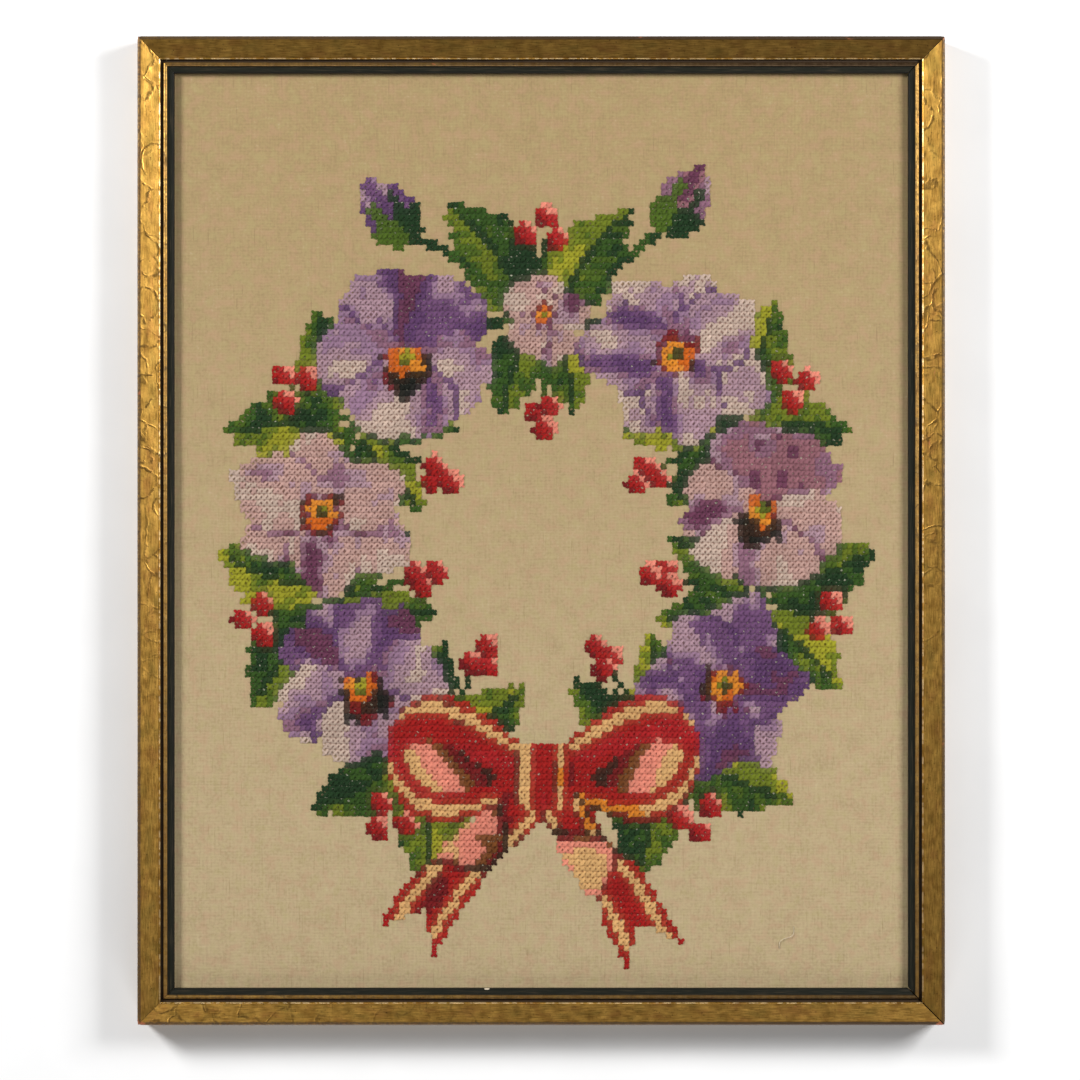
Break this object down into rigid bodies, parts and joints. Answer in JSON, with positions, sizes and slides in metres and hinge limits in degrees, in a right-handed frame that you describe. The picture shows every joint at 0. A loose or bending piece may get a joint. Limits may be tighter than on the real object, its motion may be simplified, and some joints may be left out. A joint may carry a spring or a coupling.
{
  "type": "cross-stitch embroidery in a picture frame",
  "caption": "Upright rectangular cross-stitch embroidery of a flower wreath on linen, stretched flat over a board in a narrow mitred gilt frame with a dark inner lip.",
  "frame": {"origin": "middle of the frame's back, on the surface that the picture lies on", "axes": "+X to the right across the picture, +Y up the picture, +Z out of its face"},
  "size_m": [0.432, 0.529, 0.02],
  "materials": {
    "gilt_moulding": "satin",
    "linen": "matte",
    "stranded_cotton": "matte",
    "hardboard": "matte"
  },
  "bodies": {
    "root": {"rail_top": "gilt_moulding", "rail_bottom": "gilt_moulding", "rail_left": "gilt_moulding", "rail_right": "gilt_moulding", "linen_ground": "linen", "backing_board": "hardboard"}
  },
  "joints": []
}
